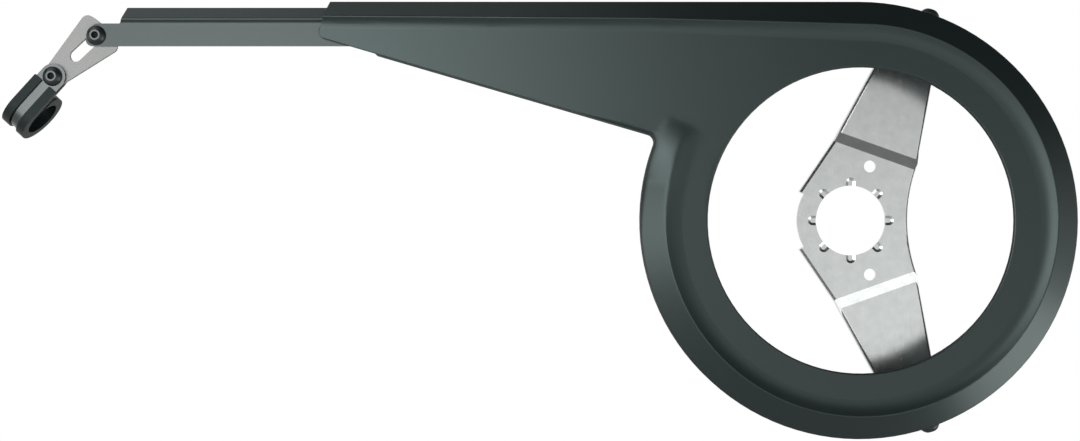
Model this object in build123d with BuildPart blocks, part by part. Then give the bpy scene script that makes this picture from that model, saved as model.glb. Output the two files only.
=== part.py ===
"""Bicycle chain guard: a moulded shell on a folded steel bracket, with a sliding extension bar,
a slotted link and a rubber lined clamp for the chain stay.

The origin is on the bottom bracket axis, in the bracket face that lies against the bicycle.
X points forwards, Z up and -Y outwards. "Out" is a distance along -Y. Sizes are in millimetres.
"""
import os
from math import acos, atan2, cos, degrees, hypot, radians, sin, sqrt, tan

from build123d import *

os.makedirs("parts", exist_ok=True)

# Moulded shell: one wall all over, ring and arm
wall = 2.4                  # wall of the moulding
rim_r = 106.8               # outside of the rim
bevel_width = 11.8          # rim to the crest
slope_width = 8.0           # crest to the foot of the hollow slope
annulus_width = 12.6        # foot to the crank opening
face_out = 26.0             # flat face, out from the bracket seat
crest_rise = 2.0            # crest above the flat face
bevel_fall = 6.5            # crest to the outer edge of the bevel
rim_depth = 24.5            # full rim, from the bevel to its rear edge
lip_depth = 8.5             # shallow rim at the rear, and lip of the arm
ridge_round = 0.8           # rounding of the crest
rim_round = 1.0             # rounding of the bevel edge
deep_rim_arc = 200.0        # full rim, clockwise from the top, degrees
blend_arc = 9.0             # bevel rises to the arm face over this, degrees
level_arc = 3.0             # and is level with it this far from the arm
run_arc = 6.2               # crest runs on into the arm face and sinks into it over this
run_out = 0.2               # crest and bevel still left at the end
corner_r = 4.0              # hollow corner between rim and arm
corner_span = 8.0
hole_round = 0.6            # edge of the crank opening

# Arm of the shell
arm_reach = 264.0           # lower corner of the slanting end, behind the axis
arm_end_height = 17.5       # of the slanting end, down from the top of the rim
arm_end_lean = 5.8          # upper corner of the end, ahead of the lower one
arm_low_slope = 16.3        # fall of the lower edge towards the ring, degrees
arm_corner_r = 3.3
arm_mid_at = 102.0          # section where the crest line changes its slope
arm_mid_bevel = 9.0         # widths there
arm_mid_slope = 6.2
arm_end_bevel = 7.8         # widths at the end
arm_end_slope = 5.6
arm_spare = 6.0             # the rail is made longer and cut to the slanting end
lip_setback = 28.0          # the lip leaves room for the bar

# Bracket of folded sheet
sheet = 2.0
bb_hole_d = 35.0            # clears a 34.8 mm bottom bracket cup
hub_width = 9.4             # body round the hole on the rear side
arm_angle = 70.4            # arms and ring screws, above and below +X
arm_hole_d = 6.0            # tooling holes on the arm axes
arm_hole_land = 8.3         # sheet between them and the large hole
joggle_land = 2.9           # from the tooling hole to the joggle
joggle_step = 1.5           # arms step back behind the chain wheel
joggle_run = 5.4            # length of the step along the arm
joggle_half_width = 20.5    # half width of the arm at the joggle
arm_front_lap = 1.9         # its front edge stands further out
arm_taper = 9.0             # each edge runs in by this angle, degrees
waist_width = 11.2          # front edge on the axis height, from the large hole
flange_start_angle = 150.1  # rear flange begins here
flange_start_gap = 2.4      # outside the hub
flange_depth = 5.0          # from the front of the sheet
flange_stop = 10.2          # flange ends before the tab
fold_round = 1.5            # outside of the flange folds
hub_fold = 1.1              # flat along the short folds at the rear of the hub
tab_front_gap = 1.1         # front of the end tab behind the bevel edge
tab_fold_r = 1.5            # inside radius of the tab fold
claw_count = 8              # pressed claws round the hole
claw_width = 4.8
claw_reach = 4.0
claw_depth = 0.75
claw_lean = 60.0            # lean of their walls, degrees

# M5 hardware
bolt_d = 5.0
head_d = 9.5
head_h = 2.75
head_flat_d = 5.2           # flat round the socket
head_edge = 0.4             # straight edge under the dome
dome_r = 5.0
socket_af = 3.0
socket_depth = 1.6
nut_af = 8.0
nut_h = 4.0
nut_bevel = 0.5
thread_fit = 0.05           # radial, bolt in nut
pivot_fit = 0.05            # radial, bolt in a part that turns on it
hole_gap = 0.3              # radial, bolt in a part that it only clamps
washer_d = 10.0
washer_t = 1.0
bolt_tip = 1.0              # bolt stands out of the nut
tip_bevel = 0.5

# Ring screws
screw_setback = 4.9         # axis of the radial screws behind the front of the tab
boss_r = 5.2                # flat seats on the rim
boss_h = 0.3
pad_t = 1.7                 # flat pads inside the rim for the tabs
pad_width = 24.0

# Extension bar
bar_gap = 0.35              # to the shell all round
bar_t = 1.5
bar_height = 19.15
bar_slope_width = 2.2       # crest to the foot of its hollow slope
bar_foot_lap = 0.3          # web stands up by this beyond the flange
bar_depth = 16.1            # its top flange, back from the bevel edge
bar_reach = 114.6           # out of the end of the arm
bar_inside = 119.0          # in the arm
bar_end_lean = 5.2
bar_eye_length = 18.4       # flat web beyond the flange
bar_flange_lean = 2.8
bar_low_corner_r = 3.0
bar_top_corner_r = 3.5
bar_notch_r = 1.0
bar_ridge_round = 1.1
hook_at = (41.0, 84.0)      # middle of the moulded guide hooks, from the end of the arm
hook_length = 10.0
hook_t = 2.2
hook_lap = 3.2              # over the lower edge of the bar

# Link plate
link_t = 2.0
eye_setback = 6.8           # slot bolt from the end of the bar
eye_rise = 5.2              # and from its lower edge
link_angle = 43.0           # slot direction above +X, degrees
link_reach = 29.2           # clamp bolt to the outer end of the slot
slot_travel = 14.3
slot_width = 5.8
link_end_r = 5.5
link_spread = 11.0          # half angle of the kite, degrees
link_head_land = 5.6        # head edge beyond the outer end of the slot
link_corner_r = 3.5

# Pipe clamp
clamp_angle = 227.7         # direction from the bolt to the loop, degrees
band_t = 1.2
band_width = 12.4
loop_at = 20.8              # loop axis from the bolt
tube_r = 9.0                # chain stay in the rubber
rubber_t = 1.7
rubber_side = 0.6           # over the edges of the band
rubber_lap_t = 1.1
rubber_lap_gap = 4.8        # bare steel between the laps
rubber_start = 4.7          # first end of the laps, from the bolt
rubber_inner_start = 7.4
rubber_end_gap = 0.3

# Values that follow
ridge_r = rim_r - bevel_width
foot_r = ridge_r - slope_width
crank_hole_r = foot_r - annulus_width
ridge_out = face_out + crest_rise
rim_out = ridge_out - bevel_fall
back_out = rim_out - rim_depth
lip_out = rim_out - lip_depth
arm_mid_x = -arm_mid_at
arm_mid_ridge_z = rim_r - arm_mid_bevel
arm_mid_foot_z = arm_mid_ridge_z - arm_mid_slope
arm_end_x = -arm_reach - arm_spare
arm_end_ridge_z = rim_r - arm_end_bevel
arm_end_foot_z = arm_end_ridge_z - arm_end_slope
arm_low_left = (-arm_reach, rim_r - arm_end_height)
arm_top_left = (arm_end_lean - arm_reach, rim_r)
arm_lip_start_x = lip_setback - arm_reach
bb_r = bb_hole_d / 2
hub_r = bb_r + hub_width
arm_hole_at = bb_r + arm_hole_land + arm_hole_d / 2
joggle_at = arm_hole_at + arm_hole_d / 2 + joggle_land
waist_x = bb_r + waist_width
arm_out = sheet - joggle_step
tab_seat = rim_r - wall - pad_t
tab_front_out = rim_out - tab_front_gap
flange_end = tab_seat - flange_stop
screw_out = tab_front_out - screw_setback
boss_top = rim_r + boss_h
bolt_r = bolt_d / 2
bar_out = face_out - wall - bar_gap
bar_top_z = rim_r - wall - bar_gap
bar_low_z = bar_top_z - bar_height
bar_foot_z = arm_mid_ridge_z - bar_slope_width
bar_web_top_z = bar_foot_z + bar_foot_lap
bar_right_x = bar_inside - arm_reach
bar_low_left_x = -arm_reach - bar_reach
bar_top_left_x = bar_low_left_x + bar_end_lean
bar_flange_low_x = bar_low_left_x + bar_eye_length
bar_flange_top_x = bar_flange_low_x + bar_flange_lean
slot_bolt_at = (bar_low_left_x + eye_setback, bar_low_z + eye_rise)
link_out = bar_out - bar_t
link_back = link_out - link_t
link_head_r = link_reach + link_head_land
clamp_bolt_at = (
    slot_bolt_at[0] - link_reach * cos(radians(link_angle)),
    slot_bolt_at[1] - link_reach * sin(radians(link_angle)),
)
band_out = link_out + band_t
loop_r = tube_r + rubber_t + band_t
loop_out = band_out - loop_r


def radial_plane(angle, at=(0, 0)):
    """Plane through an axis along Y: local x away from it, local y outwards."""
    a = radians(angle)
    return Plane(origin=(at[0], 0, at[1]), x_dir=(cos(a), 0, sin(a)), z_dir=(sin(a), 0, -cos(a)))


def cross_plane(x):
    """Plane across the arm: local x up, local y outwards."""
    return Plane(origin=(x, 0, 0), x_dir=(0, 0, 1), z_dir=(1, 0, 0))


def face_plane(at, out, angle=0.0):
    """Plane seen from outside, at a point and an outward distance, turned by an angle."""
    a = radians(angle)
    return Plane(origin=(at[0], -out, at[1]), x_dir=(cos(a), 0, sin(a)), z_dir=(0, -1, 0))


def hollow_middle(foot, crest):
    """Middle of the arc that leaves the foot level and rises to the crest."""
    run, rise = crest[0] - foot[0], crest[1] - foot[1]
    radius = (run * run + rise * rise) / (2 * rise)
    half = atan2(run, radius - rise) / 2
    return foot[0] + radius * sin(half), foot[1] + radius * (1 - cos(half))


def wall_section(start, foot, crest, edge, back, thick, crest_round):
    """Edges of a profile: flat, hollow slope, crest, bevel and rim, thickened to the inside."""
    with BuildSketch() as section:
        with BuildLine():
            Line(start, foot)
            ThreePointArc(foot, hollow_middle(foot, crest), crest)
            Polyline(crest, edge, back)
            offset(amount=thick, side=Side.RIGHT)
        make_face()
        fillet(section.vertices().sort_by_distance(crest)[0], crest_round)
        fillet(section.vertices().sort_by_distance(edge)[0], rim_round)
    return section.edges()


def shell_section(foot, ridge, back, crest_out=ridge_out, edge_out=rim_out):
    """Profile of the moulding, from the flat face to the rear edge of the rim."""
    return wall_section(
        (foot - wall, face_out),
        (foot, face_out),
        (ridge, crest_out),
        (rim_r, edge_out),
        (rim_r, back),
        wall,
        ridge_round,
    )


def on_axis(angle, distance):
    """Point at a distance from the bottom bracket axis, seen from outside."""
    return distance * cos(radians(angle)), distance * sin(radians(angle))


def seat_plane(angle, distance, out):
    """Plane square to a radius of the ring: local x outwards, local z away from the axis."""
    x, z = on_axis(angle, distance)
    return Plane(origin=(x, -out, z), x_dir=(0, -1, 0), z_dir=(x, 0, z))


def low_edge_z(x):
    """Height of the lower edge of the arm."""
    return arm_low_left[1] - (x - arm_low_left[0]) * tan(radians(arm_low_slope))


# Shell: rail of the arm by lofts, flat arm plate and lip, cut to the arm outline, then the ring
low_edge_from_axis = (
    arm_low_left[0] * sin(radians(arm_low_slope)) + arm_low_left[1] * cos(radians(arm_low_slope))
)
meet_angle = 90 - arm_low_slope + degrees(acos(low_edge_from_axis / rim_r))
meet = on_axis(meet_angle, rim_r)
lip_rise = wall / cos(radians(arm_low_slope))
lip_end_x = meet[0] + wall
run_end = meet_angle - run_arc
level_angle = meet_angle + level_arc
blend_angle = level_angle + blend_arc
blend_out = face_out - run_out
screw_angles = (arm_angle, -arm_angle)
hook_top = bar_low_z - bar_gap
hook_front = link_out - bar_gap

with BuildPart() as ring:
    with BuildSketch(Plane.XZ.offset(face_out)):
        Circle(foot_r - wall / 2)
        Circle(crank_hole_r, mode=Mode.SUBTRACT)
    extrude(amount=-wall)
    fillet(ring.edges().group_by(Axis.Y)[0].sort_by(SortBy.LENGTH)[0], hole_round)
    with BuildSketch(radial_plane(90)):
        make_face(shell_section(foot_r, ridge_r, lip_out))
    revolve(axis=Axis.Y, revolution_arc=450 - blend_angle)
    with BuildSketch(radial_plane(90)):
        with Locations((rim_r, lip_out + wall)):
            Rectangle(wall, lip_out + wall - back_out, align=Align.MAX)
    revolve(axis=Axis.Y, revolution_arc=deep_rim_arc)

with BuildPart() as guard_shell:
    with BuildSketch(cross_plane(arm_end_x)):
        make_face(shell_section(arm_end_foot_z, arm_end_ridge_z, back_out))
    with BuildSketch(cross_plane(arm_mid_x)):
        make_face(shell_section(arm_mid_foot_z, arm_mid_ridge_z, back_out))
    loft()
    with BuildSketch(cross_plane(arm_mid_x)):
        make_face(shell_section(arm_mid_foot_z, arm_mid_ridge_z, back_out))
    with BuildSketch(cross_plane(0)):
        make_face(shell_section(foot_r, ridge_r, back_out))
    loft()
    with BuildSketch(Plane.XZ.offset(face_out)):
        with BuildLine():
            Polyline(
                (0, foot_r - wall),
                (0, foot_r),
                (arm_mid_x, arm_mid_foot_z),
                (arm_end_x, arm_end_foot_z),
                (arm_end_x, low_edge_z(arm_end_x)),
                meet,
                on_axis(run_end, rim_r - wall),
                on_axis(run_end, foot_r - wall),
            )
            ThreePointArc(
                on_axis(run_end, foot_r - wall),
                on_axis((run_end + 90) / 2, foot_r - wall),
                (0, foot_r - wall),
            )
        make_face()
    extrude(amount=-wall)
    with BuildSketch(Plane.XZ.offset(face_out)):
        with BuildLine():
            Polyline(
                (arm_lip_start_x, low_edge_z(arm_lip_start_x)),
                (lip_end_x, low_edge_z(lip_end_x)),
                (lip_end_x, low_edge_z(lip_end_x) + lip_rise),
                (arm_lip_start_x, low_edge_z(arm_lip_start_x) + lip_rise),
                close=True,
            )
        make_face()
        with BuildLine():
            Polyline(
                meet,
                on_axis(run_end, rim_r - wall),
                on_axis(run_end, rim_r),
                on_axis(meet_angle, rim_r + wall),
                close=True,
            )
        make_face()
    extrude(amount=lip_out - face_out)
    for at in hook_at:
        with BuildSketch(cross_plane(at - arm_reach)):
            with BuildLine():
                Polyline(
                    (hook_top - hook_t, face_out - wall / 2),
                    (hook_top, face_out - wall / 2),
                    (hook_top, hook_front),
                    (bar_low_z + hook_lap, hook_front),
                    (bar_low_z + hook_lap, hook_front - hook_t),
                    (hook_top - hook_t, hook_front - hook_t),
                    close=True,
                )
            make_face()
        extrude(amount=hook_length / 2, both=True)
    with BuildSketch(Plane.XZ.offset(ridge_out + wall)) as arm_outline:
        with BuildLine():
            Polyline(
                (0, 0),
                (lip_end_x, 0),
                (lip_end_x, low_edge_z(lip_end_x)),
                arm_low_left,
                arm_top_left,
                (arm_top_left[0], rim_r + wall),
                (0, rim_r + wall),
                close=True,
            )
        make_face()
        fillet(arm_outline.vertices().sort_by_distance(arm_low_left)[0], arm_corner_r)
    extrude(amount=back_out - ridge_out - 2 * wall, mode=Mode.INTERSECT)
    add(ring.part)
    with BuildSketch(radial_plane(blend_angle)):
        make_face(shell_section(foot_r, ridge_r, lip_out))
    with BuildSketch(radial_plane(level_angle)):
        make_face(shell_section(foot_r, ridge_r, lip_out, ridge_out, blend_out))
    with BuildSketch(radial_plane(run_end)):
        make_face(shell_section(foot_r, ridge_r, lip_out, face_out + run_out, blend_out))
    loft()
    with BuildSketch(face_plane(meet, blend_out, -arm_low_slope)) as corner:
        with Locations((sqrt(rim_r**2 - low_edge_from_axis**2), -low_edge_from_axis)):
            Circle(rim_r)
            Circle(rim_r - wall, mode=Mode.SUBTRACT)
        with Locations((wall, 0)):
            Rectangle(corner_span, wall, align=(Align.MAX, Align.MIN))
        with Locations((wall, wall)):
            Rectangle(corner_span, corner_span, align=(Align.MAX, Align.MAX), mode=Mode.INTERSECT)
        fillet(corner.vertices().sort_by_distance((0, 0))[0], corner_r)
    extrude(amount=lip_out - blend_out)
    for angle in screw_angles:
        with BuildSketch(seat_plane(angle, boss_top, screw_out)):
            Circle(boss_r)
        extrude(amount=rim_r - wall / 2 - boss_top)
        with BuildSketch(seat_plane(angle, tab_seat, (tab_front_out + back_out) / 2)):
            Rectangle(tab_front_out - back_out, pad_width)
        extrude(amount=rim_r - wall / 2 - tab_seat)
        with BuildSketch(seat_plane(angle, boss_top, screw_out)):
            Circle(bolt_r + hole_gap)
        extrude(amount=tab_seat - boss_top - wall, mode=Mode.SUBTRACT)
guard_shell.part.label = "guard_shell"
export_step(guard_shell.part, "parts/guard_shell.step")


# Bracket: a folded ribbon cut to the outline, stiffened by flanges and mirrored below the axis
tilt = radians(arm_angle)
joggle_mid = joggle_at + joggle_run / 2
bend_shift = tan(atan2(joggle_step, joggle_run) / 2)
hub_end = on_axis(flange_start_angle, hub_r)
flange_start = on_axis(flange_start_angle, hub_r + flange_start_gap)


def arm_edge(distance, side):
    """Point on an edge of the upper arm: side 1 is the rear edge, -1 the front edge."""
    half = joggle_half_width - (distance - joggle_mid) * tan(radians(arm_taper))
    if side < 0:
        half += arm_front_lap
    x, z = on_axis(arm_angle, distance)
    return x - side * half * sin(tilt), z + side * half * cos(tilt)


def ribbon(depth, end):
    """Corners of the joggled strip seen along the sheet, out to its end."""
    shift = depth * bend_shift
    front = [(-hub_r, sheet), (joggle_at, sheet), (joggle_at + joggle_run, arm_out), (end, arm_out)]
    rear = [
        (end, arm_out - depth),
        (joggle_at + joggle_run - shift, arm_out - depth),
        (joggle_at - shift, sheet - depth),
        (-hub_r, sheet - depth),
    ]
    return front + rear


def is_fold(edge):
    """True for a front edge with a flange behind it, on an arm or at the waist of the hub."""
    at = edge.center()
    along = at.X * cos(tilt) + abs(at.Z) * sin(tilt)
    across = abs(at.X * sin(tilt) - abs(at.Z) * cos(tilt))
    level = sheet if along < joggle_mid else arm_out
    at_side = across > joggle_half_width / 2 and (along > joggle_mid or at.X > waist_x)
    return at_side and edge.length > 2 * flange_depth and abs(at.Y + level) < fold_round / 10


def is_hub_fold(edge):
    """True for a front edge with a flange behind it, at the rear of the hub."""
    at = edge.center()
    along = at.X * cos(tilt) + abs(at.Z) * sin(tilt)
    at_rear = at.X < 0 and abs(at.Z) > bb_r and along < joggle_at
    return at_rear and edge.length > 2 * flange_depth and abs(at.Y + sheet) < fold_round / 10


with BuildPart() as flange_stock:
    with BuildSketch(radial_plane(arm_angle)):
        with BuildLine():
            Polyline(*ribbon(flange_depth, flange_end), close=True)
        make_face()
    extrude(amount=tab_seat, both=True)
    with BuildSketch(Plane.XZ.offset(tab_seat)):
        with BuildLine():
            Polyline(flange_start, arm_edge(joggle_mid, 1), arm_edge(tab_seat, 1))
            offset(amount=sheet, side=Side.RIGHT)
        make_face()
        with BuildLine():
            TangentArc((waist_x, 0), arm_edge(joggle_mid, -1), tangent=(0, 1))
            Line(arm_edge(joggle_mid, -1), arm_edge(tab_seat, -1))
            offset(amount=sheet, side=Side.LEFT)
        make_face()
    extrude(amount=-2 * tab_seat, mode=Mode.INTERSECT)

with BuildPart() as mounting_bracket:
    with BuildSketch(radial_plane(arm_angle)) as strip:
        with BuildLine():
            Polyline(*ribbon(sheet, tab_seat), close=True)
        make_face()
        with Locations((tab_seat, arm_out - sheet)):
            Rectangle(sheet, tab_front_out - arm_out + sheet, align=(Align.MAX, Align.MIN))
        fillet(strip.vertices().sort_by_distance((tab_seat - sheet, arm_out))[0], tab_fold_r)
        fillet(strip.vertices().sort_by_distance((tab_seat, arm_out - sheet))[0], tab_fold_r + sheet)
    extrude(amount=tab_seat, both=True)
    with BuildSketch(Plane.XZ.offset(tab_seat)):
        with BuildLine():
            ThreePointArc((-hub_r, 0), on_axis((flange_start_angle + 180) / 2, hub_r), hub_end)
            Polyline(
                hub_end,
                flange_start,
                arm_edge(joggle_mid, 1),
                arm_edge(tab_seat, 1),
                arm_edge(tab_seat, -1),
                arm_edge(joggle_mid, -1),
            )
            TangentArc((waist_x, 0), arm_edge(joggle_mid, -1), tangent=(0, 1))
            Line((waist_x, 0), (-hub_r, 0))
        make_face()
    extrude(amount=-2 * tab_seat, mode=Mode.INTERSECT)
    add(flange_stock.part)
    with BuildSketch(seat_plane(arm_angle, tab_seat, screw_out)):
        Circle(bolt_r + hole_gap)
    extrude(amount=-2 * sheet, mode=Mode.SUBTRACT)
    with BuildSketch(Plane.XZ.offset(sheet)):
        with Locations(on_axis(arm_angle, arm_hole_at)):
            Circle(arm_hole_d / 2)
    extrude(amount=-2 * sheet, mode=Mode.SUBTRACT)
    mirror(about=Plane.XY)
    with BuildSketch(Plane.XZ):
        with PolarLocations(bb_r, claw_count):
            SlotCenterToCenter(2 * claw_reach - claw_width, claw_width)
    extrude(amount=-claw_depth, taper=claw_lean)
    with BuildSketch(Plane.XZ.offset(sheet)):
        with PolarLocations(bb_r, claw_count):
            SlotCenterToCenter(2 * claw_reach - claw_width, claw_width)
    extrude(amount=-claw_depth, taper=claw_lean, mode=Mode.SUBTRACT)
    with BuildSketch(Plane.XZ.offset(sheet)):
        Circle(bb_r)
    extrude(amount=-2 * sheet, mode=Mode.SUBTRACT)
    fillet(mounting_bracket.edges().filter_by(is_fold), fold_round)
    chamfer(mounting_bracket.edges().filter_by(is_hub_fold), hub_fold)
mounting_bracket.part.label = "mounting_bracket"
export_step(mounting_bracket.part, "parts/mounting_bracket.step")


# Extension bar: nests under the rail of the arm and ends in a flat eye
bar_slope = atan2(ridge_out - rim_out, rim_r - arm_mid_ridge_z)
bar_crest_out = ridge_out - (wall + bar_gap) / cos(bar_slope)
bar_edge_out = bar_crest_out - (bar_top_z - arm_mid_ridge_z) * tan(bar_slope)
bar_back_out = bar_edge_out - bar_depth
bar_low_left = (bar_low_left_x, bar_low_z)
bar_top_left = (bar_top_left_x, bar_web_top_z)
bar_notch = (bar_flange_low_x, bar_web_top_z)
with BuildPart() as extension_bar:
    with BuildSketch(cross_plane(bar_low_left_x)):
        make_face(
            wall_section(
                (bar_low_z, bar_out),
                (bar_foot_z, bar_out),
                (arm_mid_ridge_z, bar_crest_out),
                (bar_top_z, bar_edge_out),
                (bar_top_z, bar_back_out),
                bar_t,
                bar_ridge_round,
            )
        )
    extrude(amount=bar_right_x - bar_low_left_x)
    with BuildSketch(Plane.XZ.offset(ridge_out)) as bar_outline:
        with BuildLine():
            Polyline(
                (bar_right_x, bar_low_z),
                bar_low_left,
                bar_top_left,
                bar_notch,
                (bar_flange_top_x, bar_top_z),
                (bar_right_x, bar_top_z),
                close=True,
            )
        make_face()
        fillet(bar_outline.vertices().sort_by_distance(bar_low_left)[0], bar_low_corner_r)
        fillet(bar_outline.vertices().sort_by_distance(bar_top_left)[0], bar_top_corner_r)
        fillet(bar_outline.vertices().sort_by_distance(bar_notch)[0], bar_notch_r)
        with Locations(slot_bolt_at):
            Circle(bolt_r + pivot_fit, mode=Mode.SUBTRACT)
    extrude(amount=bar_back_out - ridge_out, mode=Mode.INTERSECT)
extension_bar.part.label = "extension_bar"
export_step(extension_bar.part, "parts/extension_bar.step")


# Bolts, nuts and washers: local z of the plane points to the side of the head
def make_bolt(label, plane, length):
    """Button head bolt with a hexagon socket; the plane is the seat of the head."""
    side = Plane(origin=plane.origin, x_dir=plane.x_dir, z_dir=-plane.y_dir)
    with BuildPart() as bolt:
        with BuildSketch(side):
            with BuildLine():
                Polyline((0, head_h), (head_flat_d / 2, head_h))
                RadiusArc((head_flat_d / 2, head_h), (head_d / 2, head_edge), dome_r)
                Polyline(
                    (head_d / 2, head_edge),
                    (head_d / 2, 0),
                    (bolt_r, 0),
                    (bolt_r, tip_bevel - length),
                    (bolt_r - tip_bevel, -length),
                    (0, -length),
                    (0, head_h),
                )
            make_face()
        revolve(axis=Axis(plane.origin, plane.z_dir))
        with BuildSketch(plane.offset(head_h)):
            RegularPolygon(socket_af / 2, 6, major_radius=False)
        extrude(amount=-socket_depth, mode=Mode.SUBTRACT)
    bolt.part.label = label
    export_step(bolt.part, f"parts/{label}.step")


def make_nut(label, plane):
    """Hexagon nut that lies behind the plane, with its corners turned off on both sides."""
    with BuildPart() as nut:
        with BuildSketch(plane):
            Circle(nut_af / 2 / cos(radians(30)))
        extrude(amount=-nut_h)
        chamfer(nut.edges(), nut_bevel)
        with BuildSketch(plane):
            RegularPolygon(nut_af / 2, 6, major_radius=False)
        extrude(amount=-nut_h, mode=Mode.INTERSECT)
        with BuildSketch(plane):
            Circle(bolt_r + thread_fit)
        extrude(amount=-nut_h, mode=Mode.SUBTRACT)
    nut.part.label = label
    export_step(nut.part, f"parts/{label}.step")


def make_washer(label, plane):
    """Flat washer that lies behind the plane."""
    with BuildPart() as washer:
        with BuildSketch(plane):
            Circle(washer_d / 2)
            Circle(bolt_r + hole_gap, mode=Mode.SUBTRACT)
        extrude(amount=-washer_t)
    washer.part.label = label
    export_step(washer.part, f"parts/{label}.step")


# Link plate: kite with a slot, local x runs from the clamp bolt to the slot bolt
with BuildPart() as link_plate:
    with BuildSketch(face_plane(clamp_bolt_at, link_out, link_angle)) as kite:
        spread = radians(link_spread)
        run = sqrt(link_head_r**2 - link_end_r**2)
        low = (-link_end_r * sin(spread), link_end_r * cos(spread))
        high = (low[0] + run * cos(spread), low[1] + run * sin(spread))
        with BuildLine():
            ThreePointArc(low, (-link_end_r, 0), (low[0], -low[1]))
            Line((low[0], -low[1]), (high[0], -high[1]))
            ThreePointArc((high[0], -high[1]), (link_head_r, 0), high)
            Line(high, low)
        make_face()
        fillet(kite.vertices().group_by(Axis.X)[-1], link_corner_r)
        Circle(bolt_r + pivot_fit, mode=Mode.SUBTRACT)
        with Locations((link_reach - slot_travel / 2, 0)):
            SlotCenterToCenter(slot_travel, slot_width, mode=Mode.SUBTRACT)
    extrude(amount=-link_t)
link_plate.part.label = "link_plate"
export_step(link_plate.part, "parts/link_plate.step")

# Clamp band: loop and two ears, drawn from the side and cut to the round of the ears
ear_r = band_width / 2
ear_back = link_back - band_t
band_mid_r = loop_r - band_t / 2
ear_join = loop_at - sqrt(band_mid_r**2 - (link_back - band_t / 2 - loop_out) ** 2)
with BuildPart() as clamp_band:
    with BuildSketch(radial_plane(clamp_angle, clamp_bolt_at)):
        with Locations((loop_at, loop_out)):
            Circle(loop_r)
            Circle(loop_r - band_t, mode=Mode.SUBTRACT)
        with Locations((0, link_back)):
            Rectangle(loop_at, loop_r, align=(Align.MIN, Align.MIN), mode=Mode.SUBTRACT)
        with Locations((-ear_r, link_out)):
            Rectangle(ear_r + loop_at, band_t, align=(Align.MIN, Align.MIN))
        with Locations((-ear_r, ear_back)):
            Rectangle(ear_r + ear_join, band_t, align=(Align.MIN, Align.MIN))
    extrude(amount=ear_r, both=True)
    with BuildSketch(face_plane(clamp_bolt_at, band_out, clamp_angle)):
        Circle(ear_r)
        Rectangle(loop_at + 2 * loop_r, band_width, align=(Align.MIN, Align.CENTER))
        Circle(bolt_r + hole_gap, mode=Mode.SUBTRACT)
    extrude(amount=-2 * loop_r, mode=Mode.INTERSECT)
clamp_band.part.label = "clamp_band"
export_step(clamp_band.part, "parts/clamp_band.step")

# Clamp rubber: a channel round the band, its laps leave the middle of the band bare
rubber_end = ear_back - rubber_end_gap
with BuildPart() as clamp_rubber:
    with BuildSketch(radial_plane(clamp_angle, clamp_bolt_at)):
        with Locations((loop_at, loop_out)):
            Circle(loop_r + rubber_lap_t)
            Circle(tube_r, mode=Mode.SUBTRACT)
        with Locations((0, rubber_end)):
            Rectangle(loop_at, 2 * loop_r, align=(Align.MIN, Align.MIN), mode=Mode.SUBTRACT)
        with Locations((rubber_start, link_out + rubber_end_gap)):
            Rectangle(
                loop_at - rubber_start,
                band_t + rubber_lap_t - rubber_end_gap,
                align=(Align.MIN, Align.MIN),
            )
        with Locations((rubber_inner_start, link_out - rubber_t)):
            Rectangle(loop_at - rubber_inner_start, 2 * rubber_t, align=(Align.MIN, Align.MIN))
    extrude(amount=ear_r + rubber_side, both=True)
    with BuildSketch(radial_plane(clamp_angle, clamp_bolt_at)):
        with Locations((loop_at, loop_out)):
            Circle(loop_r + 2 * rubber_lap_t)
            Circle(loop_r, mode=Mode.SUBTRACT)
        with Locations((0, rubber_end)):
            Rectangle(loop_at, 2 * loop_r, align=(Align.MIN, Align.MIN), mode=Mode.SUBTRACT)
        with Locations((0, band_out)):
            Rectangle(loop_at, 2 * rubber_lap_t, align=(Align.MIN, Align.MIN))
    extrude(amount=rubber_lap_gap / 2, both=True, mode=Mode.SUBTRACT)
    add(clamp_band.part, mode=Mode.SUBTRACT)
clamp_rubber.part.label = "clamp_rubber"
export_step(clamp_rubber.part, "parts/clamp_rubber.step")

# Fasteners in their places
for name, angle in (("upper", arm_angle), ("lower", -arm_angle)):
    grip = boss_top - tab_seat + sheet
    make_bolt(f"{name}_bracket_screw", seat_plane(angle, boss_top, screw_out), grip + nut_h + bolt_tip)
    make_nut(f"{name}_bracket_nut", seat_plane(angle, tab_seat - sheet, screw_out))

make_bolt("slot_bolt", face_plane(slot_bolt_at, bar_out), bar_out - link_back + washer_t + nut_h + bolt_tip)
make_washer("slot_washer", face_plane(slot_bolt_at, link_back))
make_nut("slot_nut", face_plane(slot_bolt_at, link_back - washer_t))
make_bolt(
    "clamp_bolt",
    face_plane(clamp_bolt_at, band_out, clamp_angle),
    band_out - ear_back + washer_t + nut_h + bolt_tip,
)
make_washer("clamp_washer", face_plane(clamp_bolt_at, ear_back, clamp_angle))
make_nut("clamp_nut", face_plane(clamp_bolt_at, ear_back - washer_t, clamp_angle))
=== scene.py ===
import bpy
import numpy as np
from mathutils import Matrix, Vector

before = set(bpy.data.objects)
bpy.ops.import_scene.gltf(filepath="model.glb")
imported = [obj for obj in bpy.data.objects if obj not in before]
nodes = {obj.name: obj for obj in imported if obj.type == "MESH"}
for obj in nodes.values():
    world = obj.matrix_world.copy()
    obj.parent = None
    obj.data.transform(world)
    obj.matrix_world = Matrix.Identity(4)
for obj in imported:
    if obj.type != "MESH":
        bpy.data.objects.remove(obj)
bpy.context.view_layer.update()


# Guard shell: ring and arm in one injection moulding of black polypropylene.
# The tool was spark eroded, so the skin has a fine even grain and only a soft sheen.
def to_linear(code):
    """Linear colour of an sRGB hex code: each channel through the sRGB curve, with full alpha."""
    value = np.array([int(code[i:i + 2], 16) for i in (1, 3, 5)]) / 255
    value = np.where(value > 0.04045, ((value + 0.055) / 1.055) ** 2.4, value / 12.92)
    return (*(float(v) for v in value), 1.0)


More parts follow.
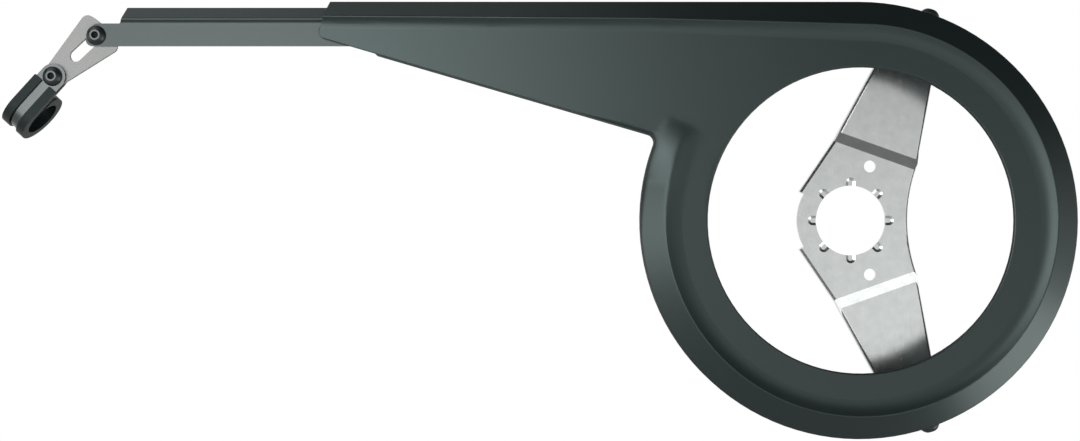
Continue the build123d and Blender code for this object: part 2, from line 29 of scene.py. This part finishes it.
def add_node(tree, kind, inputs=None, **settings):
    """Adds one node: settings are its properties, inputs are values or sockets to link."""
    made = tree.nodes.new(kind)
    for name, value in settings.items():
        setattr(made, name, value)
    for key, value in (inputs or {}).items():
        if isinstance(value, bpy.types.NodeSocket):
            tree.links.new(value, made.inputs[key])
        else:
            made.inputs[key].default_value = value
    return made


def dress(node, material):
    """Puts one material on every slot of a CAD node."""
    slots = nodes[node].data.materials
    slots.clear()
    slots.append(material)


grain = 0.9                 # mm; the real grain is about 0.1 mm, drawn coarser so that it shows
grain_depth = 0.06          # mm
flow = 70.0                 # mm, slow changes of gloss along the flow of the plastic
edge_round = 0.7            # mm, soft edges of the tool
blend_at = (-98.0, -25.0, 34.0)  # mm, where the bevel of the ring runs into the arm
blend_reach = 44.0          # mm, the tool is polished smooth within it
blend_round = 4.5           # mm, soft edges there
flank, face = 0.10, 0.35    # share of Y in the normal of a drawn flank and of a face
flank_rough = 0.90
moulded_polypropylene = bpy.data.materials.new("moulded_black_polypropylene")
moulded_polypropylene.use_nodes = True
tree = moulded_polypropylene.node_tree
skin = tree.nodes["Principled BSDF"]
skin.inputs["IOR"].default_value = 1.58
skin.inputs["Specular Tint"].default_value = to_linear("#e6fffc")
coords = add_node(tree, "ShaderNodeTexCoord")
place = coords.outputs["Object"]
cloud = add_node(tree, "ShaderNodeTexNoise", {"Vector": place, "Scale": 1000 / flow, "Detail": 3.0})
pits = add_node(tree, "ShaderNodeTexNoise", {"Vector": place, "Scale": 1000 / grain, "Detail": 2.0})
tone = add_node(tree, "ShaderNodeValToRGB", {"Fac": cloud.outputs["Fac"]})
tone.color_ramp.elements[0].color = to_linear("#0f1515")
tone.color_ramp.elements[1].color = to_linear("#141b1b")
gloss = add_node(tree, "ShaderNodeMapRange", {
    "Value": cloud.outputs["Fac"], "To Min": 0.32, "To Max": 0.37,
})
facing = add_node(tree, "ShaderNodeSeparateXYZ", {0: coords.outputs["Normal"]})
steep = add_node(tree, "ShaderNodeMath", {0: facing.outputs["Y"]}, operation="ABSOLUTE")
draft = add_node(tree, "ShaderNodeMapRange", {
    "Value": steep.outputs["Value"], "From Min": flank, "From Max": face,
    "To Min": flank_rough, "To Max": gloss.outputs["Result"],
})
from_blend = add_node(tree, "ShaderNodeVectorMath", {
    0: place, 1: tuple(value / 1000 for value in blend_at),
}, operation="DISTANCE")
polish = add_node(tree, "ShaderNodeMapRange", {
    "Value": from_blend.outputs["Value"],
    "From Min": blend_reach / 2 / 1000, "From Max": blend_reach / 1000,
    "To Min": blend_round / 1000, "To Max": edge_round / 1000,
})
edge = add_node(tree, "ShaderNodeBevel", {"Radius": polish.outputs["Result"]}, samples=8)
relief = add_node(tree, "ShaderNodeBump", {
    "Height": pits.outputs["Fac"], "Strength": 0.25, "Distance": grain_depth / 1000,
    "Normal": edge.outputs["Normal"],
})
tree.links.new(tone.outputs["Color"], skin.inputs["Base Color"])
tree.links.new(draft.outputs["Result"], skin.inputs["Roughness"])
tree.links.new(relief.outputs["Normal"], skin.inputs["Normal"])
dress("guard_shell", moulded_polypropylene)


# Mounting bracket: 2 mm steel sheet, punched, joggled and flanged, then bright zinc plated.
# The plating keeps a cold sheen with the fine lines of the rolled sheet in it.
rolling = (9.0, 0.7)        # mm, length and spacing of the rolling lines, drawn coarser than real
line_depth = 0.03           # mm
spangle = 5.0               # mm, faint clouds in the zinc
bright_zinc = bpy.data.materials.new("bright_zinc_plated_steel")
bright_zinc.use_nodes = True
tree = bright_zinc.node_tree
skin = tree.nodes["Principled BSDF"]
skin.inputs["Metallic"].default_value = 1.0
place = add_node(tree, "ShaderNodeTexCoord").outputs["Object"]
along = add_node(tree, "ShaderNodeMapping", {
    "Vector": place, "Scale": (1000 / rolling[1], 1000 / rolling[1], 1000 / rolling[0]),
})
lines = add_node(tree, "ShaderNodeTexNoise", {
    "Vector": along.outputs["Vector"], "Scale": 1.0, "Detail": 2.0,
})
cloud = add_node(tree, "ShaderNodeTexNoise", {
    "Vector": place, "Scale": 1000 / spangle, "Detail": 2.0,
})
tone = add_node(tree, "ShaderNodeValToRGB", {"Fac": cloud.outputs["Fac"]})
tone.color_ramp.elements[0].color = to_linear("#c3c7c6")
tone.color_ramp.elements[1].color = to_linear("#d8dbda")
gloss = add_node(tree, "ShaderNodeMapRange", {
    "Value": lines.outputs["Fac"], "To Min": 0.20, "To Max": 0.30,
})
relief = add_node(tree, "ShaderNodeBump", {
    "Height": lines.outputs["Fac"], "Strength": 0.12, "Distance": line_depth / 1000,
})
tree.links.new(tone.outputs["Color"], skin.inputs["Base Color"])
tree.links.new(gloss.outputs["Result"], skin.inputs["Roughness"])
tree.links.new(relief.outputs["Normal"], skin.inputs["Normal"])
dress("mounting_bracket", bright_zinc)


# Screws and bolts: M5 button heads, cold headed and black oxidised, so nearly black.
# The key has rubbed the flat round each socket grey, and the socket itself stays matt and dark.
blotch = 2.5                # mm, uneven oxide
worn = 0.08                 # mm, depth of the wear below the top of a head
worn_r, socket_r = 2.35, 1.74  # mm
rim_centre = (0, -15.5, 0)  # mm, where the axes of both rim screws meet
rim_screw = np.radians(70.4)  # their slope
rim_top = 109.85            # mm from there to the top of a head
slot_at, slot_top = (-371.8, 0, 90.1), 26.0      # mm
clamp_at, clamp_top = (-393.16, 0, 70.19), 25.7  # mm
outwards = (0, -1, 0)
for name, point, axis, top in (
    ("upper_bracket_screw", rim_centre, (np.cos(rim_screw), 0, np.sin(rim_screw)), rim_top),
    ("lower_bracket_screw", rim_centre, (np.cos(rim_screw), 0, -np.sin(rim_screw)), rim_top),
    ("slot_bolt", slot_at, outwards, slot_top),
    ("clamp_bolt", clamp_at, outwards, clamp_top),
):
    black_oxide = bpy.data.materials.new("black_oxide_steel_" + name)
    black_oxide.use_nodes = True
    tree = black_oxide.node_tree
    skin = tree.nodes["Principled BSDF"]
    place = add_node(tree, "ShaderNodeTexCoord").outputs["Object"]
    offset = add_node(tree, "ShaderNodeVectorMath", {
        0: place, 1: tuple(value / 1000 for value in point),
    }, operation="SUBTRACT").outputs["Vector"]
    height = add_node(tree, "ShaderNodeVectorMath", {0: offset, 1: axis}, operation="DOT_PRODUCT")
    across = add_node(tree, "ShaderNodeVectorMath", {
        0: offset, 1: axis,
    }, operation="CROSS_PRODUCT")
    radius = add_node(tree, "ShaderNodeVectorMath", {
        0: across.outputs["Vector"],
    }, operation="LENGTH")
    flat = add_node(tree, "ShaderNodeMapRange", {
        "Value": height.outputs["Value"],
        "From Min": (top - worn) / 1000, "From Max": (top - worn / 2) / 1000,
    })
    inside = add_node(tree, "ShaderNodeMath", {
        0: radius.outputs["Value"], 1: worn_r / 1000,
    }, operation="LESS_THAN")
    rubbed = add_node(tree, "ShaderNodeMath", {
        0: flat.outputs["Result"], 1: inside.outputs["Value"],
    }, operation="MULTIPLY")
    socket = add_node(tree, "ShaderNodeMath", {
        0: radius.outputs["Value"], 1: socket_r / 1000,
    }, operation="LESS_THAN")
    cloud = add_node(tree, "ShaderNodeTexNoise", {
        "Vector": place, "Scale": 1000 / blotch, "Detail": 2.0,
    })
    tone = add_node(tree, "ShaderNodeValToRGB", {"Fac": cloud.outputs["Fac"]})
    tone.color_ramp.elements[0].color = to_linear("#14191a")
    tone.color_ramp.elements[1].color = to_linear("#1f2526")
    colour = add_node(tree, "ShaderNodeMix", {
        6: tone.outputs["Color"], 7: to_linear("#4c5050"), 0: rubbed.outputs["Value"],
    }, data_type="RGBA")
    gloss = add_node(tree, "ShaderNodeMapRange", {
        "Value": cloud.outputs["Fac"], "To Min": 0.26, "To Max": 0.36,
    })
    rough = add_node(tree, "ShaderNodeMath", {
        0: socket.outputs["Value"], 1: gloss.outputs["Result"],
    }, operation="MAXIMUM")
    tree.links.new(colour.outputs[2], skin.inputs["Base Color"])
    tree.links.new(rubbed.outputs["Value"], skin.inputs["Metallic"])
    tree.links.new(rough.outputs["Value"], skin.inputs["Roughness"])
    dress(name, black_oxide)


# Nuts and washers: stock steel parts, zinc plated in a barrel and screwed up behind the sheet.
# Tumbling leaves them duller than the bracket, with small clouds and no direction.
barrel = 1.2                # mm, marks of the barrel
barrel_zinc = bpy.data.materials.new("barrel_zinc_plated_steel")
barrel_zinc.use_nodes = True
tree = barrel_zinc.node_tree
skin = tree.nodes["Principled BSDF"]
skin.inputs["Metallic"].default_value = 1.0
place = add_node(tree, "ShaderNodeTexCoord").outputs["Object"]
cloud = add_node(tree, "ShaderNodeTexNoise", {
    "Vector": place, "Scale": 1000 / barrel, "Detail": 3.0,
})
tone = add_node(tree, "ShaderNodeValToRGB", {"Fac": cloud.outputs["Fac"]})
tone.color_ramp.elements[0].color = to_linear("#9a9ea0")
tone.color_ramp.elements[1].color = to_linear("#bfc3c4")
gloss = add_node(tree, "ShaderNodeMapRange", {
    "Value": cloud.outputs["Fac"], "To Min": 0.30, "To Max": 0.45,
})
tree.links.new(tone.outputs["Color"], skin.inputs["Base Color"])
tree.links.new(gloss.outputs["Result"], skin.inputs["Roughness"])
for name in (
    "upper_bracket_nut", "lower_bracket_nut",
    "slot_washer", "slot_nut", "clamp_washer", "clamp_nut",
):
    dress(name, barrel_zinc)


# Extension bar: aluminium extruded to the profile of the arm and anodised black.
# Die lines run along it under the matt oxide.
die_lines = (120.0, 0.8)    # mm, length and spacing, drawn coarser than real
die_depth = 0.03            # mm
anodised_black = bpy.data.materials.new("black_anodised_aluminium")
anodised_black.use_nodes = True
tree = anodised_black.node_tree
skin = tree.nodes["Principled BSDF"]
skin.inputs["IOR"].default_value = 1.6
skin.inputs["Specular Tint"].default_value = to_linear("#eefffc")
place = add_node(tree, "ShaderNodeTexCoord").outputs["Object"]
along = add_node(tree, "ShaderNodeMapping", {
    "Vector": place, "Scale": (1000 / die_lines[0], 1000 / die_lines[1], 1000 / die_lines[1]),
})
lines = add_node(tree, "ShaderNodeTexNoise", {
    "Vector": along.outputs["Vector"], "Scale": 1.0, "Detail": 2.0,
})
tone = add_node(tree, "ShaderNodeValToRGB", {"Fac": lines.outputs["Fac"]})
tone.color_ramp.elements[0].color = to_linear("#151a1b")
tone.color_ramp.elements[1].color = to_linear("#1b2122")
gloss = add_node(tree, "ShaderNodeMapRange", {
    "Value": lines.outputs["Fac"], "To Min": 0.32, "To Max": 0.38,
})
relief = add_node(tree, "ShaderNodeBump", {
    "Height": lines.outputs["Fac"], "Strength": 0.05, "Distance": die_depth / 1000,
})
tree.links.new(tone.outputs["Color"], skin.inputs["Base Color"])
tree.links.new(gloss.outputs["Result"], skin.inputs["Roughness"])
tree.links.new(relief.outputs["Normal"], skin.inputs["Normal"])
dress("extension_bar", anodised_black)


# Link plate: punched from 2 mm steel strip and matt zinc plated.
# The dull plating shows one even light grey with hardly any reflection.
peen = 0.8                  # mm, dull texture of the plated strip
peen_depth = 0.03           # mm
matt_zinc = bpy.data.materials.new("matt_zinc_plated_steel")
matt_zinc.use_nodes = True
tree = matt_zinc.node_tree
skin = tree.nodes["Principled BSDF"]
skin.inputs["Metallic"].default_value = 1.0
place = add_node(tree, "ShaderNodeTexCoord").outputs["Object"]
cloud = add_node(tree, "ShaderNodeTexNoise", {"Vector": place, "Scale": 1000 / peen, "Detail": 2.0})
tone = add_node(tree, "ShaderNodeValToRGB", {"Fac": cloud.outputs["Fac"]})
tone.color_ramp.elements[0].color = to_linear("#979897")
tone.color_ramp.elements[1].color = to_linear("#a2a3a2")
gloss = add_node(tree, "ShaderNodeMapRange", {
    "Value": cloud.outputs["Fac"], "To Min": 0.60, "To Max": 0.72,
})
relief = add_node(tree, "ShaderNodeBump", {
    "Height": cloud.outputs["Fac"], "Strength": 0.1, "Distance": peen_depth / 1000,
})
tree.links.new(tone.outputs["Color"], skin.inputs["Base Color"])
tree.links.new(gloss.outputs["Result"], skin.inputs["Roughness"])
tree.links.new(relief.outputs["Normal"], skin.inputs["Normal"])
dress("link_plate", matt_zinc)


# Clamp band: thin steel strip bent to a loop, satin zinc plated.
# It is smoother than the link, so that it darkens quickly where it curves away.
drawn = (30.0, 0.6)         # mm, length and spacing of faint lines, drawn coarser than real
band_slope = np.radians(227.7)
satin_zinc = bpy.data.materials.new("satin_zinc_plated_steel")
satin_zinc.use_nodes = True
tree = satin_zinc.node_tree
skin = tree.nodes["Principled BSDF"]
skin.inputs["Metallic"].default_value = 1.0
place = add_node(tree, "ShaderNodeTexCoord").outputs["Object"]
turned = add_node(tree, "ShaderNodeMapping", {
    "Vector": place, "Rotation": (0.0, float(band_slope), 0.0),
})
along = add_node(tree, "ShaderNodeMapping", {
    "Vector": turned.outputs["Vector"],
    "Scale": (1000 / drawn[0], 1000 / drawn[0], 1000 / drawn[1]),
})
lines = add_node(tree, "ShaderNodeTexNoise", {
    "Vector": along.outputs["Vector"], "Scale": 1.0, "Detail": 2.0,
})
tone = add_node(tree, "ShaderNodeValToRGB", {"Fac": lines.outputs["Fac"]})
tone.color_ramp.elements[0].color = to_linear("#474a4a")
tone.color_ramp.elements[1].color = to_linear("#515454")
gloss = add_node(tree, "ShaderNodeMapRange", {
    "Value": lines.outputs["Fac"], "To Min": 0.24, "To Max": 0.30,
})
tree.links.new(tone.outputs["Color"], skin.inputs["Base Color"])
tree.links.new(gloss.outputs["Result"], skin.inputs["Roughness"])
dress("clamp_band", satin_zinc)


# Clamp rubber: extruded black rubber channel, pushed over both edges of the band.
# It swallows most of the light, with the dry grey bloom that rubber gets.
bloom = 3.0                 # mm, clouds of the bloom
black_rubber = bpy.data.materials.new("extruded_black_rubber")
black_rubber.use_nodes = True
tree = black_rubber.node_tree
skin = tree.nodes["Principled BSDF"]
skin.inputs["IOR"].default_value = 1.33
skin.inputs["Specular Tint"].default_value = to_linear("#e6fffc")
place = add_node(tree, "ShaderNodeTexCoord").outputs["Object"]
cloud = add_node(tree, "ShaderNodeTexNoise", {
    "Vector": place, "Scale": 1000 / bloom, "Detail": 4.0,
})
tone = add_node(tree, "ShaderNodeValToRGB", {"Fac": cloud.outputs["Fac"]})
tone.color_ramp.elements[0].color = to_linear("#090c0c")
tone.color_ramp.elements[1].color = to_linear("#101515")
gloss = add_node(tree, "ShaderNodeMapRange", {
    "Value": cloud.outputs["Fac"], "To Min": 0.46, "To Max": 0.54,
})
tree.links.new(tone.outputs["Color"], skin.inputs["Base Color"])
tree.links.new(gloss.outputs["Result"], skin.inputs["Roughness"])
dress("clamp_rubber", black_rubber)


# Stage: a pale floor well below the guard, which fades out before its edge,
# a white studio sweep behind, soft boxes all round and the camera.
floor_at, floor_r = -0.90, 2.6  # m
floor_sides = 96
floor_glow = 0.5            # keeps the paper pale where little light reaches it
angle = np.linspace(0, 2 * np.pi, floor_sides, endpoint=False)
ring = np.stack([
    floor_r * np.cos(angle), floor_r * np.sin(angle), np.full(floor_sides, floor_at),
], axis=1)
floor_mesh = bpy.data.meshes.new("floor")
floor_mesh.from_pydata(ring.tolist(), [], [list(range(floor_sides))])
floor = bpy.data.objects.new("floor", floor_mesh)
bpy.context.scene.collection.objects.link(floor)
floor_paper = bpy.data.materials.new("pale_paper")
floor_paper.use_nodes = True
tree = floor_paper.node_tree
paper = tree.nodes["Principled BSDF"]
pale = to_linear("#f1f1ef")
paper.inputs["Base Color"].default_value = pale
paper.inputs["Roughness"].default_value = 0.9
paper.inputs["Emission Color"].default_value = pale
seen = add_node(tree, "ShaderNodeLightPath").outputs["Is Camera Ray"]
glow = add_node(tree, "ShaderNodeMath", {0: seen, 1: floor_glow}, operation="MULTIPLY")
tree.links.new(glow.outputs["Value"], paper.inputs["Emission Strength"])
place = add_node(tree, "ShaderNodeTexCoord").outputs["Object"]
reach = add_node(tree, "ShaderNodeVectorMath", {0: place}, operation="LENGTH")
fade = add_node(tree, "ShaderNodeMapRange", {
    "Value": reach.outputs["Value"], "From Min": 0.5 * floor_r, "From Max": floor_r,
}, interpolation_type="SMOOTHSTEP")
clear = add_node(tree, "ShaderNodeBsdfTransparent")
sheet = add_node(tree, "ShaderNodeMixShader", {
    "Fac": fade.outputs["Result"], 1: paper.outputs["BSDF"], 2: clear.outputs["BSDF"],
})
tree.links.new(sheet.outputs["Shader"], tree.nodes["Material Output"].inputs["Surface"])
floor_mesh.materials.append(floor_paper)

studio = bpy.data.worlds.new("studio")
bpy.context.scene.world = studio
studio.use_nodes = True
tree = studio.node_tree
ambient = tree.nodes["Background"]
room_level, sweep_level = 0.05, 1.0
sweep_top, sweep_foot = 0.45, -0.25  # Z of the look, from the dark room down to the white sweep
sweep_side, sweep_back = 0.5, 0.85   # Y of the look, from the side to the middle of the sweep
look = add_node(tree, "ShaderNodeTexCoord").outputs["Generated"]
split = add_node(tree, "ShaderNodeSeparateXYZ", {"Vector": look})
height = add_node(tree, "ShaderNodeMapRange", {
    "Value": split.outputs["Z"], "From Min": sweep_top, "From Max": sweep_foot,
    "To Min": room_level, "To Max": sweep_level,
}, interpolation_type="SMOOTHSTEP")
path = add_node(tree, "ShaderNodeLightPath")
behind = add_node(tree, "ShaderNodeMapRange", {
    "Value": split.outputs["Y"], "From Min": sweep_side, "From Max": sweep_back,
}, interpolation_type="SMOOTHSTEP")
mirrored = add_node(tree, "ShaderNodeMath", {
    0: path.outputs["Is Glossy Ray"], 1: path.outputs["Is Transmission Ray"],
}, operation="MAXIMUM")
mirrored_sweep = add_node(tree, "ShaderNodeMath", {
    0: mirrored.outputs["Value"], 1: behind.outputs["Result"],
}, operation="MULTIPLY")
sweep = add_node(tree, "ShaderNodeMath", {
    0: mirrored_sweep.outputs["Value"], 1: path.outputs["Is Camera Ray"],
}, operation="MAXIMUM")
level = add_node(tree, "ShaderNodeMapRange", {
    "Value": sweep.outputs["Value"], "To Min": height.outputs["Result"], "To Max": sweep_level,
})
ambient.inputs["Color"].default_value = (1.0, 1.0, 1.0, 1.0)
tree.links.new(level.outputs["Result"], ambient.inputs["Strength"])

# Each soft box: place, aim and size in m, and power in W.
for name, at, aim, size, power in (
    ("left_soft_box", (-1.05, -1.36, 0.04), (-0.20, 0.0, 0.03), (1.78, 0.90), 15.0),
    ("front_soft_box", (-0.46, -1.57, 0.29), (-0.22, 0.0, 0.07), (0.84, 0.56), 3.0),
    ("upper_left_soft_box", (-0.89, -0.21, 1.11), (-0.20, 0.0, 0.09), (1.00, 1.00), 3.4),
    ("right_soft_box", (0.78, -0.243, -0.54), (0.06, 0.0, -0.06), (0.52, 0.52), 2.8),
    ("right_front_soft_box", (0.62, -1.30, -0.12), (0.03, 0.0, 0.0), (0.70, 0.50), 0.28),
    ("low_front_soft_box", (0.53, -0.99, -0.713), (0.02, 0.0, -0.045), (0.40, 0.40), 0.8),
    ("high_front_soft_box", (0.53, -0.99, 0.713), (0.02, 0.0, 0.045), (0.40, 0.40), 0.1),
    ("overhead_soft_box", (-0.25, -0.14, 1.20), (-0.18, -0.02, 0.10), (0.40, 0.34), 0.29),
):
    lamp = bpy.data.lights.new(name, "AREA")
    lamp.shape = "RECTANGLE"
    lamp.size, lamp.size_y = size
    lamp.energy = power
    box = bpy.data.objects.new(name, lamp)
    box.location = at
    box.rotation_euler = (Vector(aim) - Vector(at)).to_track_quat("-Z", "Y").to_euler()
    box.visible_camera = False
    bpy.context.scene.collection.objects.link(box)

camera_at = (-0.1558, -0.7230, 0.0)  # m, fitted to the perspective of the photograph
focal_px, picture_px = 1437.9, 1080
sensor = 36.0               # mm
lens = bpy.data.cameras.new("camera")
lens.sensor_fit = "HORIZONTAL"
lens.sensor_width = sensor
lens.lens = sensor * focal_px / picture_px
lens.clip_start, lens.clip_end = 0.01, 20.0
camera = bpy.data.objects.new("camera", lens)
camera.location = camera_at
camera.rotation_euler = (np.pi / 2, 0.0, 0.0)
bpy.context.scene.collection.objects.link(camera)
bpy.context.scene.camera = camera
bpy.context.scene.view_settings.view_transform = "Standard"
